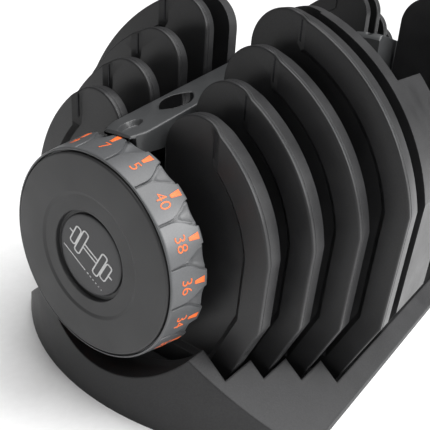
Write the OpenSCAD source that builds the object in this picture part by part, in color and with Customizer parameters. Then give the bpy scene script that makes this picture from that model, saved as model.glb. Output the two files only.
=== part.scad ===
// Dial-select adjustable dumbbell standing in its moulded tray.
// X runs along the grip, Y across it and Z up. The origin is under the middle of the tray.
// Each end is drawn once, with X measured inward from that end's dial face and Z from the grip axis.

/* [Overall] */
// Length from one dial face to the other
overall_l = 438; // [425:1:530]
// Height of the grip axis above the floor
axis_z = 88; // [86:1:110]

/* [Plates] */
// Distance from the dial face to the front of the first plate
first_plate_x = 33.6; // [33.2:0.2:40]
// Distance from one plate's front to the next
plate_pitch = 21.4; // [20.5:0.1:26]
// Thickness of a plate at its raised rim
plate_t = 10.9; // [9:0.1:11.8]
// Depth of the recess inside the raised rim, on the dial side
rim_step = 2.4; // [1.2:0.1:3]
// Depth of the same recess on the grip side
back_step = 1; // [0.5:0.1:2.4]
// Width of the raised rim
rim_w = 12; // [8:0.5:16]
// Outer radius of plates A to E
plate_r = [78.3, 88.7, 101.3, 116.5, 116.5];
// Height of each plate's widest point above the grip axis
wide_z = [10.7, 12.8, 16.9, 25.5, 25.5];
// Depth of each plate's lower corner below the grip axis
corner_z = [24.8, 28.9, 34.6, 39, 39];
// Depth of each plate's foot below the grip axis
foot_z = [66, 71, 76, 81.5, 81.5];
// Thickness of the moulded cover over the steel core
cover_t = 1.2; // [1:0.1:2]
// Half width of the channel that takes the handle
channel_w = 14.5; // [13.4:0.1:18]
// Radius that rounds the top of each lobe
lobe_r = 18.5; // [12:0.5:24]
// Half width of the recess between the raised rims of the two lobes
jog_y = 42; // [36:0.5:44]
// Extra thickness of the heavy plate's side weights, towards the grip
heavy_t = 31.9; // [15:0.1:36]
// Radius of the wrist room inside the heavy plate's side weights
wrist_r = 84; // [78:1:90]

/* [Dial] */
// Radius of the face disc
face_r = 50; // [44:0.5:54]
// Radius of the numbered ring at its plate side
ring_r = 55; // [54:0.5:58]
// Width of the numbered ring
ring_w = 21.3; // [16:0.1:21.6]
// Number of weight settings on the ring
settings = 17; // [12:1:20]
// Radius of the badge recess
badge_r = 22.7; // [18:0.1:26]

/* [Selector] */
// Outer radius of the hub that carries the discs
hub_r = 12.6; // [11:0.1:12.8]
// Outer radius of the selector discs
disc_r = 45; // [42:0.5:46]
// Thickness of a disc's web and of its flange
disc_t = 2.5; // [1.8:0.1:3]
// Width of the hook on each plate
hook_w = 9; // [6:0.5:11]
// Radial depth of the hook
hook_d = 6; // [4:0.5:8]
// How far a hook stands out of its plate
hook_l = 5; // [3.5:0.1:5.5]

/* [Handle] */
// Radius of the axle
axle_r = 5; // [4:0.1:6]
// Radius of the grip at its middle
grip_r = 17.5; // [15:0.5:20]
// Radius of the steel tube under the grip
tube_r = 12.5; // [11:0.1:13.5]
// Radius of the end guards
guard_r = 54; // [51:0.5:60]
// Half width of the bridge covers
bridge_w = 11.2; // [9:0.1:11.6]
// Wall of the bridge covers
bridge_wall = 2.4; // [1.6:0.1:3]
// Height of the bridge's tip above the grip axis
bridge_tip_z = 57; // [56:0.5:62]
// Rise of the bridge's top for each millimetre of length
bridge_slope = 0.205; // [0.15:0.005:0.24]

/* [Tray] */
// Half width of the tray on the floor
tray_w = 105.8; // [102:0.1:125]
// Height of the lip around the tray
lip_h = 4.2; // [3:0.1:8]
// Rise of the side slopes for each millimetre inward
side_slope = 0.78; // [0.6:0.01:0.95]
// Distance from the dial face to the tray's end
tray_inset = 4; // [2:0.5:10]
// Radius of the tray's rounded ends, seen from above
end_arc_r = 163; // [140:1:220]
// Radius of the cradle around the dial
cradle_r = 66; // [62:0.5:68]
// Clearance of the plates in their wells
well_gap = 1.5; // [1:0.1:2.5]
// Height of the dividers above the tray's underside
divider_h = 36; // [28:1:38]
// Thickness of a divider
divider_t = 5; // [4:0.1:5.2]

/* [Lock] */
// Number of teeth in the lock ring, four for each setting
lock_teeth = 68; // [48:4:80]
// Radius of the lock ring's tooth tips
lock_r = 30; // [28:0.5:32]
// Travel of the lock pawl
pawl_travel = 2.5; // [2:0.1:3]

/* [Hidden] */
$fn = 96;

eps = 0.01;
half_l = overall_l / 2;
plate_count = len(plate_r);
heavy = plate_count - 1;
plate_xs = [for (k = [0 : heavy]) first_plate_x + plate_pitch * k];
plate_end_x = plate_xs[heavy] + plate_t;

// Outline of the plates
side_draft = tan(2);
foot_slope = tan(24);
// The lobe's corner circle stands this far over the rim's, so that the two cross cleanly.
lobe_over = 0.01;

// Selector: which settings each plate is lifted at, the lightest setting being 0
lifted_at = [[1, 3, 5, 6, 9, 11, 13, 14, 16],
  [2, 3, 4, 5, 6, 7, 10, 11, 12, 13, 14, 15, 16],
  [4, 5, 7, 12, 13, 15, 16],
  [6, 7, 14, 15, 16],
  [8, 9, 10, 11, 12, 13, 14, 15, 16]];
rest_setting = 1;
step_a = 360 / settings;
flange_gap = 0.5;
hook_out_r = disc_r - disc_t - flange_gap;
flange_start = 1.2;
web_x = 7.2;

// Handle stack, measured from the dial face
arm_x = ring_w + 1.2;
arm_t = 8.6;
arm_r = 20;
hub_start_x = 10;
nut_x = 5.9;
nut_t = 3.4;
axle_x = 5.4;
lock_x = plate_end_x - back_step + web_x + disc_t + flange_gap;
lock_web_t = 2;
lock_rim_t = 6;
hub_end_x = lock_x + lock_web_t + lock_rim_t + 1;
pawl_foot_x = hub_end_x - 0.4;
pawl_foot_t = 3.4;
guard_x = pawl_foot_x + pawl_foot_t + 0.6;
guard_t = 5;
guard_skirt_x = plate_end_x + 5;
guard_end_x = guard_x + guard_t;
guard_skirt_t = 2.5;
block_top = guard_r + 6;
block_root = 8;
guard_fit = 0.3;
rail_t = 2;
rail_gap = 4;
spring_seat_z = tube_r + 4.4;
tube_x = guard_end_x - 3;
grip_x = guard_end_x + 0.5;
running = 0.05;
bush_r = axle_r + 2.2;
bush_l = 10;
dial_screw_r = 1.4;
loose = 0.6;

// Face disc and ring
groove = 0.7;
ring_front_r = face_r + groove + 1.1;
ring_web_x = 13;
ring_web_t = 3;
ring_wall = 3;
scallop_r = 9;
scallop_sink = 2.6;
scallop_out = 3.4;
face_t = 2.6;
face_step_r = face_r * 0.626;
face_step = 0.7;
badge_depth = 3.2;
badge_gap = 2;
badge_t = 1.6;

// Bridge
nose_r = bridge_w + 7;
nose_back = 4;
nose_chamfer = 3;
heel_l = 6;
heel_drop = 5;
arm_w = 2 * bridge_w - 6;
block_gap = 0.2;
screw_post_r = 4.6;
screw_r = 1.5;
head_r = 3.1;
head_sink = 4;
bridge_screw_in = 6;
plunger_r = 2;
plunger_l = 6;
plunger_bore_h = 16;
window_arc_r = 14.3;
window_w = 6.8;
window_t = 1.1;
window_depth = 1.3;

// Lock
pawl_w = 7;
pawl_tooth_w = 1.4;
tooth_depth = 2;
pawl_tip_r = lock_r - 1;
pawl_top = 19;
pawl_foot_z = 40;
spring_r = 1.7;
spring_wire = 0.35;
spring_turns = 5;
post_r = 2;
post_base_h = 5;

// Tray
seat_gap = 0.2;
floor_t = axis_z - foot_z[heavy] - seat_gap;
cell_front = 7.3;
foot_pad_r = 9;
foot_pad_t = 1.5;
foot_in_x = 62;
foot_in_y = 22;
end_draft = 5;
divider_w = 42;
saddle_y = 14;
saddle_w = 10;
saddle_h = 30;
divider_screw_y = 22;
screw_sink = 0.6;
screw_l = 25;

module left_end() { translate([-half_l, 0, axis_z]) children(); }

module right_end() { rotate([0, 0, 180]) left_end() children(); }

module both_ends() {
  left_end() children();
  right_end() children();
}

module on_axis() { translate([0, 0, axis_z]) children(); }

// Extrudes a YZ outline along X from x0 over the length len_x.
module along_x(x0, len_x) {
  translate([x0, 0, 0]) rotate([90, 0, 90]) linear_extrude(len_x) children();
}

module x_cylinder(x0, len_x, r, fn = 96) {
  translate([x0, 0, 0]) rotate([0, 90, 0]) cylinder(h = len_x, r = r, $fn = fn);
}

module x_ring(x0, len_x, r_out, r_in) {
  difference() {
    x_cylinder(x0, len_x, r_out);
    x_cylinder(x0 - 1, len_x + 2, r_in);
  }
}

// ---- Plates ----

function wide_y(k) = sqrt(pow(plate_r[k], 2) - pow(wide_z[k], 2));
function corner_y(k) = wide_y(k) - (wide_z[k] + corner_z[k]) * side_draft;

// Half breadth of plate k's lower slant at depth z below the axis, grown by g.
function slant_y(k, z, g) =
  corner_y(k) - (z - corner_z[k]) * foot_slope + g * sqrt(1 + foot_slope * foot_slope);

// Half breadth of plate k's drafted side at height z, grown by g.
function side_y(k, z, g) = wide_y(k) + g - (wide_z[k] - z) * side_draft;

// Where the grown side and the grown slant cross.
function knee_z(k, g) =
  corner_z[k] + g * (sqrt(1 + foot_slope * foot_slope) - 1) / (foot_slope - side_draft);

// Straight sides and foot of plate k, grown by g, open at the top.
module plate_sides(k, g) {
  top = plate_r[k] + 20;
  knee = knee_z(k, g);
  foot = foot_z[k] + g;
  right = [[side_y(k, top, g), top], [side_y(k, -knee, g), -knee], [slant_y(k, foot, g), -foot]];
  polygon(concat(right, [for (i = [2 : -1 : 0]) [-right[i][0], right[i][1]]]));
}

// Outline of plate k: round above the grip axis, straight sided below it.
module plate_outline(k, g = 0) {
  r = plate_r[k] + g;
  intersection() {
    plate_sides(k, g);
    union() {
      circle(r = r, $fn = 180);
      translate([-r, -2 * r]) square(2 * r);
    }
  }
}

// The corner that is rounded off the top of a lobe, on the +Y side.
module lobe_corner(k, g) {
  r = lobe_r + g;
  cy = channel_w - g + r;
  cz = sqrt(pow(plate_r[k] + g - r + lobe_over, 2) - cy * cy);
  reach = (plate_r[k] + 20) / (plate_r[k] + g - r);
  difference() {
    polygon([[cy, cz], [0, cz], [0, cz * reach], [cy * reach, cz * reach]]);
    translate([cy, cz]) circle(r = r);
  }
}

// The channel and the rounded lobe tops; g < 0 cuts a wider channel.
module plate_channel(k, g = 0) {
  w = channel_w - g;
  circle(r = w);
  translate([-w, 0]) square([2 * w, plate_r[k] + 20]);
  lobe_corner(k, g);
  mirror([1, 0]) lobe_corner(k, g);
}

module plate_2d(k, g = 0) {
  difference() {
    plate_outline(k, g);
    plate_channel(k, g);
  }
}

// The part of the plate that is recessed on both faces.
module recess_2d(k, g = 0) {
  plate_outline(k, -rim_w - g);
  translate([g - jog_y, 0]) square([2 * (jog_y - g), plate_r[k] + 20]);
}

// The heavy plate's side weights, seen from the end.
module weights_2d(g = 0) {
  difference() {
    plate_outline(heavy, g);
    circle(r = wrist_r - g, $fn = 180);
    translate([g - wrist_r, 0]) square([2 * (wrist_r - g), plate_r[heavy] + 20]);
  }
}

module side_weights(g = 0) {
  along_x(plate_end_x - plate_t / 2, plate_t / 2 + heavy_t + g) weights_2d(g);
}

// Where plate k's recessed face on the grip side is, which its hook stands out of.
function hook_face_x(k) = plate_xs[k] + plate_t - back_step;

// A whole plate, shrunk by -g on every face.
module plate_solid(k, g = 0) {
  difference() {
    along_x(plate_xs[k] - g, plate_t + 2 * g) plate_2d(k, g);
    along_x(plate_xs[k] - 1, 1 + rim_step - g) recess_2d(k, g);
    along_x(hook_face_x(k) + g, 1 + back_step) recess_2d(k, g);
  }
  if (k == heavy) side_weights(g);
}

// The steel tab that a selector flange lifts.
module hook(k, g = 0) {
  x0 = plate_xs[k] + plate_t / 2;
  translate([x0, -hook_w / 2 - g, -hook_out_r - g])
    cube([plate_t / 2 - back_step + hook_l + g, hook_w + 2 * g, hook_d + 2 * g]);
}

module plate_cover(k) {
  color("#3b3b3d") difference() {
    plate_solid(k);
    plate_solid(k, -cover_t);
    hook(k, 0.1);
  }
}

module plate_core(k) {
  color("#55565a") {
    plate_solid(k, -cover_t - 0.1);
    hook(k);
  }
}

// ---- Dial ----

module dial_ring() {
  bore_r = ring_front_r - ring_wall;
  color("#87888b") difference() {
    translate([groove, 0, 0]) rotate([0, 90, 0])
      cylinder(h = ring_w - groove, r1 = ring_front_r, r2 = ring_r, $fn = 180);
    x_cylinder(-1, face_t + groove + 1, face_r + groove);
    x_cylinder(-1, ring_web_x + 1, bore_r);
    x_cylinder(ring_web_x + ring_web_t, ring_w, bore_r);
    x_cylinder(0, ring_w, hub_r);
    for (i = [0 : settings - 1]) rotate([(i + 0.5) * step_a, 0, 0]) finger_scallop();
    dial_screw_places() x_cylinder(ring_web_x - 1, ring_web_t + 2, 1.8, 32);
  }
}

// Hollow between two numbers, at the ring's plate side.
module finger_scallop() {
  translate([ring_w + scallop_out, 0, ring_r + scallop_r - scallop_sink]) rotate([0, 60, 0])
    cylinder(h = ring_w + 3, r = scallop_r, center = true, $fn = 48);
}

module dial_screw_places() {
  for (a = [60 : 120 : 300]) rotate([a, 0, 0]) translate([0, 0, hub_r + 4.4]) children();
}

module dial_face() {
  color("#434446") difference() {
    union() {
      x_cylinder(0, face_t, face_r);
      x_ring(face_t - eps, 5, ring_front_r - ring_wall - 0.3, ring_front_r - ring_wall - 2.5);
      x_cylinder(face_t - eps, badge_depth + 1.6 - face_t, badge_r + 2);
    }
    x_cylinder(-1, 1 + face_step, face_step_r);
    x_cylinder(-1, 1 + badge_depth, badge_r);
  }
}

module dial_badge() {
  color("#5a5b5e") x_cylinder(badge_depth - badge_t, badge_t, badge_r - badge_gap);
}

module hub() {
  color("#2c2d2f") difference() {
    union() {
      x_cylinder(hub_start_x, hub_end_x - hub_start_x, hub_r);
      x_cylinder(ring_web_x + ring_web_t, 3, hub_r + 9);
    }
    x_cylinder(hub_start_x - 1, hub_end_x, bush_r);
    for (i = [0 : settings - 1]) rotate([i * step_a, 0, 0])
      translate([0, 0, hub_r + 0.4]) x_cylinder(arm_x + 1.5, arm_t - 3, 1, 24);
    dial_screw_places() x_cylinder(ring_web_x, ring_web_t + 5, dial_screw_r, 32);
  }
}

module hub_bushes() {
  color("#c9a25a") {
    x_ring(hub_start_x, bush_l, bush_r, axle_r + running);
    x_ring(hub_end_x - bush_l, bush_l, bush_r, axle_r + running);
  }
}

module dial_screws() {
  color("#9b9da1") dial_screw_places() {
    x_cylinder(ring_web_x, ring_web_t + 4.5, dial_screw_r, 32);
    x_cylinder(ring_web_x - 2, 2, 2.9, 32);
  }
}

// A wedge of half angle a around the downward direction.
module down_wedge(a, r) {
  polygon([[0, 0], [-r * tan(a), -r], [r * tan(a), -r]]);
}

// Disc for plate k: its flange runs under the hook at the settings in lifted_at[k].
module selector_disc(k) {
  x0 = hook_face_x(k);
  x_ring(x0 + web_x, disc_t, disc_r, hub_r);
  along_x(x0 + flange_start, web_x - flange_start + eps) intersection() {
    difference() {
      circle(r = disc_r);
      circle(r = disc_r - disc_t);
    }
    union() {
      for (s = lifted_at[k]) rotate((rest_setting - s) * step_a)
        down_wedge(step_a / 2 + 0.2, disc_r + 5);
    }
  }
}

module selector_discs() {
  color("#d8d4c6") for (k = [0 : heavy]) selector_disc(k);
}

module lock_ring() {
  rim_x = lock_x + lock_web_t;
  color("#b9babd") {
    x_ring(lock_x, lock_web_t + eps, lock_r + 6, hub_r);
    along_x(rim_x, lock_rim_t) difference() {
      circle(r = lock_r + 6);
      circle(r = lock_r);
      for (i = [0 : lock_teeth - 1]) rotate(i * 360 / lock_teeth) translate([0, -lock_r])
        polygon([[-1.05, 0.2], [1.05, 0.2], [0.85, -tooth_depth], [-0.85, -tooth_depth]]);
    }
  }
}

// ---- Handle ----

module axle() {
  color("#b4b6ba") x_cylinder(axle_x - half_l, overall_l - 2 * axle_x, axle_r);
}

module axle_nut() {
  color("#9b9da1") difference() {
    x_cylinder(nut_x, nut_t, 8, 6);
    x_cylinder(nut_x - 1, nut_t + 2, axle_r);
  }
}

module grip_tube() {
  color("#a7a9ad") x_ring(tube_x - half_l, overall_l - 2 * tube_x, tube_r, axle_r + 0.2);
}

// Rubber grip: a shallow barrel with a small flange at each end.
module grip_rubber() {
  len = overall_l - 2 * grip_x;
  bands = 10;
  swell = 1.6;
  side = [for (i = [0 : bands])
    [grip_r - swell * pow(2 * i / bands - 1, 2), len * (i / bands - 0.5)]];
  color("#2a2a2b") rotate([0, 90, 0]) rotate_extrude() difference() {
    union() {
      polygon(concat([[0, -len / 2]], side, [[0, len / 2]]));
      for (s = [-1, 1]) translate([0, s * (len / 2 - 2) - 2]) square([grip_r + 3, 4]);
    }
    translate([-1, -len]) square([1 + tube_r, 2 * len]);
  }
}

module guard() {
  slot_w = pawl_w + 2 * loose;
  block_w = bridge_w - bridge_wall - 2 * block_gap;
  notch_w = bridge_w + guard_fit;
  block_z = bridge_low() - guard_fit;
  color("#333335") difference() {
    union() {
      difference() {
        union() {
          x_cylinder(guard_x, guard_t, guard_r);
          x_ring(guard_skirt_x, guard_x - guard_skirt_x + eps, guard_r, guard_r - guard_skirt_t);
        }
        translate([guard_skirt_x - 1, -notch_w, block_z])
          cube([guard_end_x, 2 * notch_w, guard_r]);
      }
      // Rails that guide the pawl's foot, and the seat of its spring.
      for (side = [-1, 1])
        translate([pawl_foot_x, side * (slot_w + rail_t) / 2 - rail_t / 2, rail_gap - pawl_foot_z])
          cube([guard_x - pawl_foot_x + eps, rail_t, pawl_foot_z - tube_r - rail_gap - 3]);
      translate([pawl_foot_x + block_gap, -(slot_w + rail_t) / 2, -spring_seat_z])
        cube([guard_x - pawl_foot_x, slot_w + rail_t, rail_t]);
      // Block that the bridge is screwed down to.
      translate([guard_skirt_x, -block_w, block_z])
        cube([guard_x - guard_skirt_x + eps, 2 * block_w, block_top - block_z]);
      translate([guard_x, -block_w, block_z - block_root])
        cube([guard_t - bridge_wall - guard_fit, 2 * block_w, block_top - block_z + block_root]);
    }
    x_cylinder(0, overall_l, axle_r + 0.2);
    x_cylinder(tube_x, guard_t, tube_r);
    translate([guard_skirt_x - 1, -slot_w / 2, -guard_r - 1])
      cube([guard_x - guard_skirt_x + 1, slot_w, guard_r - pawl_foot_z + 2]);
    for (x = bridge_screw_xs()) translate([x, 0, guard_r - bridge_screw_in - 1])
      cylinder(h = axis_z, r = screw_r, $fn = 32);
  }
}

function bridge_top(x) = bridge_tip_z + (x - arm_x) * bridge_slope;
function bridge_low() = disc_r + 2.5;
function bridge_screw_xs() = [guard_skirt_x + 4, guard_x - 1];

// Side view of the bridge, shrunk by g.
module bridge_side(g = 0) {
  x0 = arm_x + g;
  x1 = guard_end_x - g;
  heel_x = x1 - heel_l;
  base_z = bridge_low() - bridge_wall;
  polygon([[x0, base_z], [x0, bridge_top(arm_x) - g - nose_chamfer],
    [x0 + nose_chamfer, bridge_top(arm_x + nose_chamfer) - g], [heel_x, bridge_top(heel_x) - g],
    [x1, bridge_top(heel_x) - g - heel_drop], [x1, base_z]]);
}

// Plan of the bridge, with a rounded tip.
module bridge_plan(g = 0) {
  intersection() {
    translate([arm_x, g - bridge_w]) square([guard_end_x - arm_x, 2 * (bridge_w - g)]);
    union() {
      translate([arm_x + nose_r + g - nose_back, 0]) circle(r = nose_r);
      translate([arm_x + nose_r - nose_back, -nose_r]) square([guard_end_x, 2 * nose_r]);
    }
  }
}

module bridge_form(g = 0) {
  intersection() {
    translate([0, nose_r, 0]) rotate([90, 0, 0]) linear_extrude(2 * nose_r) bridge_side(g);
    translate([0, 0, bridge_low()]) linear_extrude(axis_z) bridge_plan(g);
  }
}

module bridge() {
  color("#303133") difference() {
    union() {
      difference() {
        bridge_form();
        difference() {
          translate([0, 0, -bridge_wall]) bridge_form(bridge_wall);
          translate([0, -nose_r, 0]) cube([arm_x + arm_t, 2 * nose_r, 2 * axis_z]);
        }
      }
      x_cylinder(arm_x, arm_t, arm_r);
      translate([arm_x, -arm_w / 2, 0]) cube([arm_t, arm_w, bridge_low() + 1]);
      for (x = bridge_screw_xs()) translate([x, 0, block_top + block_gap])
        cylinder(h = bridge_top(x) - block_top - 1, r = screw_post_r, $fn = 32);
    }
    x_cylinder(arm_x - 1, arm_t + 2, hub_r + loose);
    translate([arm_x + arm_t / 2, 0, hub_r]) cylinder(h = plunger_bore_h, r = plunger_r + 0.1, $fn = 32);
    window_place() translate([0, 0, -window_depth]) linear_extrude(5) almond(0.15);
    for (x = bridge_screw_xs()) translate([x, 0, bridge_low()]) {
      cylinder(h = axis_z, r = screw_r + 0.2, $fn = 32);
      translate([0, 0, bridge_top(x) - bridge_low() - head_sink])
        cylinder(h = 20, r = head_r + 0.3, $fn = 32);
    }
  }
}

module bridge_screws() {
  color("#9b9da1") for (x = bridge_screw_xs()) {
    head_z = bridge_top(x) - head_sink;
    translate([x, 0, guard_r - bridge_screw_in])
      cylinder(h = head_z - guard_r + bridge_screw_in, r = screw_r, $fn = 32);
    translate([x, 0, head_z]) cylinder(h = 1.8, r = head_r, $fn = 32);
  }
}

// Almond outline of the window, grown by g.
module almond(g = 0) {
  shift_y = window_arc_r - window_w;
  intersection() {
    translate([0, -shift_y]) circle(r = window_arc_r + g);
    translate([0, shift_y]) circle(r = window_arc_r + g);
  }
}

module window_place() {
  x = first_plate_x + plate_pitch + plate_t / 2;
  translate([x, 0, bridge_top(x)]) rotate([0, -atan(bridge_slope), 0]) children();
}

module window() {
  color("#151618") window_place() translate([0, 0, -window_depth]) linear_extrude(window_t) almond(0);
}

module detent_plunger() {
  tip_z = hub_r + 0.1;
  color("#c4c6ca") translate([arm_x + arm_t / 2, 0, tip_z]) {
    cylinder(h = 1, r1 = 0.4 * plunger_r, r2 = plunger_r, $fn = 32);
    translate([0, 0, 1]) cylinder(h = plunger_l, r = plunger_r, $fn = 32);
  }
}

module detent_spring() {
  z0 = hub_r + plunger_l + 1.2;
  color("#b4b6ba") translate([arm_x + arm_t / 2, 0, z0])
    spring(hub_r + plunger_bore_h - 0.2 - z0, plunger_r - 0.4, 0.3, 7);
}

// A coil spring as a stack of closed rings with a wire of radius wire.
module spring(len, r, wire, turns) {
  pitch = (len - 2 * wire) / (turns - 1);
  for (i = [0 : turns - 1]) translate([0, 0, wire + i * pitch])
    rotate_extrude($fn = 32) translate([r - wire, 0]) circle(r = wire, $fn = 16);
  for (i = [0 : turns - 2]) rotate([0, 0, 90 * i]) translate([r - wire, 0, wire + i * pitch])
    cylinder(h = pitch, r = wire * 0.8, $fn = 16);
}

// ---- Lock ----

module lock_pawl() {
  tooth_x = lock_x + lock_web_t + 1;
  tooth_l = lock_rim_t - 1.6;
  body_z = -pawl_tip_r + 2;
  color("#d9a441") {
    // Tooth that drops into the lock ring.
    translate([tooth_x, -pawl_tooth_w / 2, -pawl_tip_r])
      cube([tooth_l, pawl_tooth_w, 3]);
    // Arm inside the ring, and the foot that the tray's post pushes up.
    translate([tooth_x, -pawl_w / 2, body_z])
      cube([pawl_foot_x + pawl_foot_t - tooth_x, pawl_w, pawl_tip_r - 2 - pawl_top - pawl_travel]);
    translate([pawl_foot_x, -pawl_w / 2, -pawl_foot_z])
      cube([pawl_foot_t, pawl_w, pawl_foot_z - pawl_tip_r + 2.5]);
  }
}

module pawl_spring() {
  z1 = -spring_seat_z;
  z0 = -pawl_top - pawl_travel;
  color("#b4b6ba") translate([pawl_foot_x + spring_r + 0.1, 0, z0])
    spring(z1 - z0, spring_r, spring_wire, spring_turns);
}

module unlock_post() {
  x = pawl_foot_x + pawl_foot_t / 2;
  base_z = floor_t - axis_z;
  color("#2f3032") translate([x, 0, base_z]) {
    cylinder(h = -pawl_foot_z - 0.1 - base_z, r = post_r);
    cylinder(h = post_base_h, r1 = 2.5 * post_r, r2 = post_r);
  }
}

// ---- Tray ----

// Gable section of the tray: lips, side slopes and a flat crown.
module tray_section() {
  crown_y = 30;
  crown_z = lip_h + (tray_w - crown_y) * side_slope;
  polygon([[-tray_w, 0], [tray_w, 0], [tray_w, lip_h], [crown_y, crown_z],
    [-crown_y, crown_z], [-tray_w, lip_h]]);
}

// One half of the tray's outer form, with its drafted round end.
module tray_half_form() {
  intersection() {
    along_x(-half_l + tray_inset, half_l - tray_inset + eps) tray_section();
    translate([-half_l + tray_inset + end_arc_r, 0, 0])
      cylinder(h = 90, r1 = end_arc_r, r2 = end_arc_r - end_draft, $fn = 360);
  }
}

// The well that plate k stands in.
module well(k) {
  x0 = plate_xs[k] - cell_front;
  x1 = k == heavy ? half_l + eps : x0 + plate_pitch + eps;
  along_x(x0, x1 - x0) intersection() {
    plate_outline(k, well_gap);
    translate([-200, -foot_z[k] - seat_gap]) square(400);
  }
}

module tray_cuts() {
  left_end() {
    x_cylinder(-20, plate_xs[0] - cell_front + 21, cradle_r);
    for (k = [0 : heavy]) well(k);
  }
}

// Two blocks at each end that the handle's guard sits down on.
module saddle() {
  difference() {
    for (side = [-1, 1]) translate([guard_x, side * saddle_y - saddle_w / 2, floor_t - axis_z - eps])
      cube([guard_t, saddle_w, saddle_h]);
    x_cylinder(guard_x - 1, guard_t + 2, guard_r + 0.3);
  }
}

module tray_shell() {
  color("#3f4042") difference() {
    union() {
      difference() {
        union() {
          tray_half_form();
          rotate([0, 0, 180]) tray_half_form();
        }
        tray_cuts();
        rotate([0, 0, 180]) tray_cuts();
      }
      both_ends() saddle();
    }
    for (p = foot_spots()) translate([p[0], p[1], -1]) cylinder(h = 1 + foot_pad_t, r = foot_pad_r);
    for (p = divider_screws()) translate([p[0], p[1], -1]) {
      cylinder(h = 40, r = 1.8, $fn = 32);
      cylinder(h = 1 + screw_sink + 1.7, r = 3.6, $fn = 32);
    }
  }
}

function foot_spots() =
  [for (x = [-1, 1]) for (y = [-1, 1]) [x * (half_l - foot_in_x), y * (tray_w - foot_in_y)]];

// The dividers stand in the gaps in front of plates B to E.
function divider_x(k) = plate_xs[k] - cell_front + 0.3;

function divider_screws() = [for (e = [-1, 1]) for (k = [1 : heavy]) for (y = [-1, 1])
  [e * (divider_x(k) + divider_t / 2 - half_l), y * divider_screw_y]];

module tray_feet() {
  color("#1f1f20") for (p = foot_spots()) translate([p[0], p[1], 0])
    cylinder(h = foot_pad_t, r = foot_pad_r - 0.2);
}

module tray_screws() {
  color("#9b9da1") for (p = divider_screws()) translate([p[0], p[1], screw_sink]) {
    cylinder(h = screw_l, r = 1.5, $fn = 32);
    cylinder(h = 1.6, r = 3.3, $fn = 32);
  }
}

module tray_dividers() {
  color("#37383a") for (k = [1 : heavy]) {
    floor_z = -foot_z[k] - seat_gap;
    difference() {
      translate([divider_x(k), -divider_w, floor_z])
        cube([divider_t, 2 * divider_w, divider_h - axis_z - floor_z]);
      for (y = [-1, 1]) translate([divider_x(k) + divider_t / 2, y * divider_screw_y, floor_z - 1])
        cylinder(h = screw_sink + screw_l - axis_z - floor_z + 2, r = 1.5, $fn = 32);
    }
  }
}

tray_shell();
tray_feet();
tray_screws();
left_end() tray_dividers();  // tray_dividers_left
right_end() tray_dividers();  // tray_dividers_right
both_ends() unlock_post();  // unlock_posts
left_end() plate_cover(0);  // plate_a_cover_left
left_end() plate_cover(1);  // plate_b_cover_left
left_end() plate_cover(2);  // plate_c_cover_left
left_end() plate_cover(3);  // plate_d_cover_left
left_end() plate_cover(4);  // plate_e_cover_left
left_end() plate_core(0);  // plate_a_core_left
left_end() plate_core(1);  // plate_b_core_left
left_end() plate_core(2);  // plate_c_core_left
left_end() plate_core(3);  // plate_d_core_left
left_end() plate_core(4);  // plate_e_core_left
right_end() plate_cover(0);  // plate_a_cover_right
right_end() plate_cover(1);  // plate_b_cover_right
right_end() plate_cover(2);  // plate_c_cover_right
right_end() plate_cover(3);  // plate_d_cover_right
right_end() plate_cover(4);  // plate_e_cover_right
right_end() plate_core(0);  // plate_a_core_right
right_end() plate_core(1);  // plate_b_core_right
right_end() plate_core(2);  // plate_c_core_right
right_end() plate_core(3);  // plate_d_core_right
right_end() plate_core(4);  // plate_e_core_right
on_axis() axle();
both_ends() axle_nut();  // axle_nuts
on_axis() grip_tube();
on_axis() grip_rubber();
left_end() guard();  // guard_left
right_end() guard();  // guard_right
left_end() bridge();  // bridge_left
right_end() bridge();  // bridge_right
left_end() window();  // window_left
right_end() window();  // window_right
both_ends() bridge_screws();
both_ends() detent_plunger();  // detent_plungers
both_ends() detent_spring();  // detent_springs
left_end() lock_pawl();  // lock_pawl_left
right_end() lock_pawl();  // lock_pawl_right
left_end() pawl_spring();  // pawl_spring_left
right_end() pawl_spring();  // pawl_spring_right
left_end() dial_ring();  // dial_ring_left
right_end() dial_ring();  // dial_ring_right
left_end() dial_face();  // dial_face_left
right_end() dial_face();  // dial_face_right
left_end() dial_badge();  // dial_badge_left
right_end() dial_badge();  // dial_badge_right
left_end() hub();  // hub_left
right_end() hub();  // hub_right
left_end() selector_discs();  // selector_discs_left
right_end() selector_discs();  // selector_discs_right
left_end() lock_ring();  // lock_ring_left
right_end() lock_ring();  // lock_ring_right
left_end() hub_bushes();  // hub_bushes_left
right_end() hub_bushes();  // hub_bushes_right
left_end() dial_screws();  // dial_screws_left
right_end() dial_screws();  // dial_screws_right
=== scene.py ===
"""Dial-select adjustable dumbbell in its moulded tray: visible surfaces, finishes, studio and camera."""

import logging
import math
from dataclasses import dataclass
from enum import Enum
from typing import Callable, Iterable, Sequence

import bmesh
import bpy
from mathutils import Matrix, Vector
from mathutils.geometry import delaunay_2d_cdt


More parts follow.
